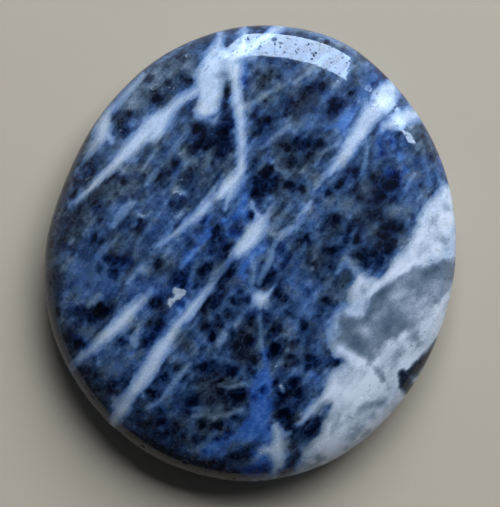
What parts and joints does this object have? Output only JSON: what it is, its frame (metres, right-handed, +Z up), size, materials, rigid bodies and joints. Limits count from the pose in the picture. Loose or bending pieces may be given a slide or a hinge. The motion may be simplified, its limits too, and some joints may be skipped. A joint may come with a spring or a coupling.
{
  "type": "polished sodalite palm stone",
  "caption": "Flat oval palm stone of polished blue sodalite with white veins; domed crown, rounded edge and a small flat spot underneath.",
  "frame": {"origin": "middle of the stone's bounding box, at the level of the flat spot that it rests on", "axes": "+Z up through the crown, +Y along the stone's longest extent, +X across it"},
  "size_m": [0.0486, 0.0538, 0.0112],
  "materials": {
    "polished_sodalite": "polished"
  },
  "bodies": {
    "root": {"sodalite_stone": "polished_sodalite"}
  },
  "joints": []
}
